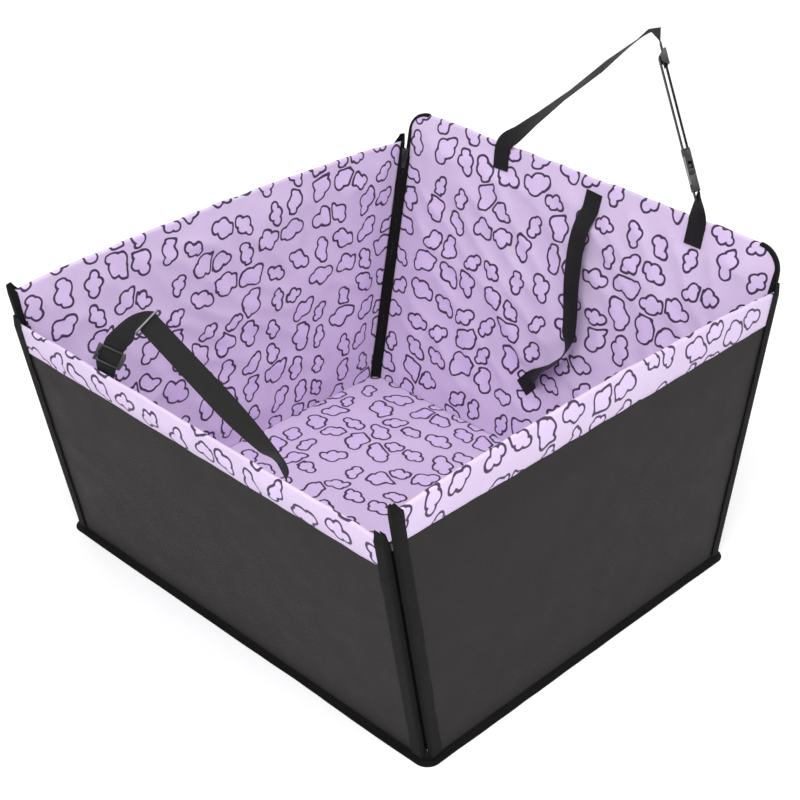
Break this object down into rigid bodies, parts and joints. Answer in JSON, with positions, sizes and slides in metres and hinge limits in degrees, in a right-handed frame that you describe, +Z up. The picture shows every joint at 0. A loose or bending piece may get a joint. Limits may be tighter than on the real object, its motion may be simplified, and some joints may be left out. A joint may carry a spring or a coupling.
{
  "type": "dog car seat",
  "caption": "Folding fabric bucket seat for a small dog in a car, with zipped stiffened walls, printed lining, headrest strap with buckle, belt guide and front strap",
  "frame": {"origin": "centre of the flat underside, on the floor", "axes": "+Z up; -Y towards the low front wall; +Y towards the tall back wall that stands against the car seat; +X to the right seen from the front"},
  "size_m": [0.622, 0.7018, 0.6091],
  "materials": {
    "black_oxford": "smooth-coated 600D polyester Oxford cloth, near black",
    "printed_oxford": "polyester Oxford cloth printed with dark purple outlined blobs on pale lilac",
    "binding_tape": "black grosgrain binding tape",
    "zip_coil": "black woven zip tape with nylon coil",
    "stiffener_board": "pressed fibre board, hidden between the cloths",
    "webbing": "black polypropylene webbing, 25 mm",
    "buckle_plastic": "black acetal, fine satin",
    "plated_steel": "bright plated steel wire",
    "painted_zinc": "black painted zinc die casting"
  },
  "bodies": {
    "base": {"base_binding": "binding_tape", "base_board": "stiffener_board", "base_lining": "printed_oxford", "base_skin": "black_oxford"},
    "front_wall": {"front_wall_binding_left": "binding_tape", "front_wall_binding_right": "binding_tape", "front_wall_board": "stiffener_board", "front_wall_lining": "printed_oxford", "front_wall_skin": "black_oxford", "zip_front_left_on_front": "zip_coil", "zip_front_right_on_front": "zip_coil", "front_strap": "webbing"},
    "back_wall": {"back_wall_binding_left": "binding_tape", "back_wall_binding_right": "binding_tape", "back_wall_board": "stiffener_board", "back_wall_lining": "printed_oxford", "back_wall_skin": "black_oxford", "zip_back_left_on_back": "zip_coil", "zip_back_right_on_back": "zip_coil", "headrest_strap": "webbing", "headrest_strap_return": "webbing", "headrest_strap_short": "webbing", "buckle_socket": "buckle_plastic", "belt_guide_strap": "webbing"},
    "left_wall": {"left_wall_binding_back": "binding_tape", "left_wall_binding_front": "binding_tape", "left_wall_board": "stiffener_board", "left_wall_lining": "printed_oxford", "left_wall_skin": "black_oxford", "zip_back_left_on_left": "zip_coil", "zip_front_left_on_left": "zip_coil"},
    "right_wall": {"right_wall_binding_back": "binding_tape", "right_wall_binding_front": "binding_tape", "right_wall_board": "stiffener_board", "right_wall_lining": "printed_oxford", "right_wall_skin": "black_oxford", "zip_back_right_on_right": "zip_coil", "zip_front_right_on_right": "zip_coil"},
    "headrest_slider": {"headrest_slider": "buckle_plastic"},
    "buckle_plug": {"buckle_plug": "buckle_plastic"},
    "front_slider": {"front_slider": "buckle_plastic"},
    "front_ring": {"front_ring": "plated_steel"},
    "zip_slider_front_left": {"zip_slider_front_left": "painted_zinc"},
    "zip_pull_front_left": {"zip_pull_front_left": "painted_zinc"},
    "zip_slider_front_right": {"zip_slider_front_right": "painted_zinc"},
    "zip_pull_front_right": {"zip_pull_front_right": "painted_zinc"},
    "zip_slider_back_left": {"zip_slider_back_left": "painted_zinc"},
    "zip_pull_back_left": {"zip_pull_back_left": "painted_zinc"},
    "zip_slider_back_right": {"zip_slider_back_right": "painted_zinc"},
    "zip_pull_back_right": {"zip_pull_back_right": "painted_zinc"}
  },
  "joints": [
    {"name": "front_wall_fold", "type": "hinge", "parent": "base", "child": "front_wall", "pos_m": [0, -0.266, 0.0069], "axis": [1, 0, 0], "range_deg": [0, 78.11]},
    {"name": "back_wall_fold", "type": "hinge", "parent": "base", "child": "back_wall", "pos_m": [0, 0.266, 0.0069], "axis": [-1, 0, 0], "range_deg": [0, 81.71]},
    {"name": "left_wall_fold", "type": "hinge", "parent": "base", "child": "left_wall", "pos_m": [-0.302, 0, 0.0069], "axis": [0, -1, 0], "range_deg": [0, 90]},
    {"name": "right_wall_fold", "type": "hinge", "parent": "base", "child": "right_wall", "pos_m": [0.302, 0, 0.0069], "axis": [0, 1, 0], "range_deg": [0, 90]},
    {"name": "zip_slide_front_left", "type": "slide", "parent": "left_wall", "child": "zip_slider_front_left", "axis": [0, 0.206, -0.9785], "range_m": [0, 0.288]},
    {"name": "zip_pull_swing_front_left", "type": "hinge", "parent": "zip_slider_front_left", "child": "zip_pull_front_left", "pos_m": [-0.29159, -0.31948, 0.31145], "axis": [0.7071, -0.6919, -0.1457], "range_deg": [0, 150]},
    {"name": "zip_slide_front_right", "type": "slide", "parent": "right_wall", "child": "zip_slider_front_right", "axis": [0, 0.206, -0.9785], "range_m": [0, 0.288]},
    {"name": "zip_pull_swing_front_right", "type": "hinge", "parent": "zip_slider_front_right", "child": "zip_pull_front_right", "pos_m": [0.29159, -0.31948, 0.31145], "axis": [0.7071, 0.6919, 0.1457], "range_deg": [0, 150]},
    {"name": "zip_slide_back_left", "type": "slide", "parent": "left_wall", "child": "zip_slider_back_left", "axis": [0, -0.1442, -0.9896], "range_m": [0, 0.319]},
    {"name": "zip_pull_swing_back_left", "type": "hinge", "parent": "zip_slider_back_left", "child": "zip_pull_back_left", "pos_m": [-0.29159, 0.30512, 0.34765], "axis": [-0.7071, -0.6997, 0.1019], "range_deg": [0, 150]},
    {"name": "zip_slide_back_right", "type": "slide", "parent": "right_wall", "child": "zip_slider_back_right", "axis": [0, -0.1442, -0.9896], "range_m": [0, 0.319]},
    {"name": "zip_pull_swing_back_right", "type": "hinge", "parent": "zip_slider_back_right", "child": "zip_pull_back_right", "pos_m": [0.29159, 0.30512, 0.34765], "axis": [-0.7071, 0.6997, -0.1019], "range_deg": [0, 150]},
    {"name": "headrest_slide", "type": "slide", "parent": "back_wall", "child": "headrest_slider", "axis": [0.5134, -0.1237, -0.8492], "range_m": [-0.008, 0.075], "deforming": ["headrest_strap_return"]},
    {"name": "buckle_release", "type": "slide", "parent": "back_wall", "child": "buckle_plug", "axis": [0.5134, -0.1237, -0.8492], "range_m": [0, 0.025], "deforming": ["headrest_strap_short"]},
    {"name": "front_slide", "type": "slide", "parent": "front_wall", "child": "front_slider", "axis": [0, 0.5463, 0.8376], "range_m": [0, 0.006]},
    {"name": "ring_slide", "type": "slide", "parent": "front_wall", "child": "front_ring", "axis": [0.971, -0.1279, -0.202], "range_m": [0, 0.11]}
  ]
}
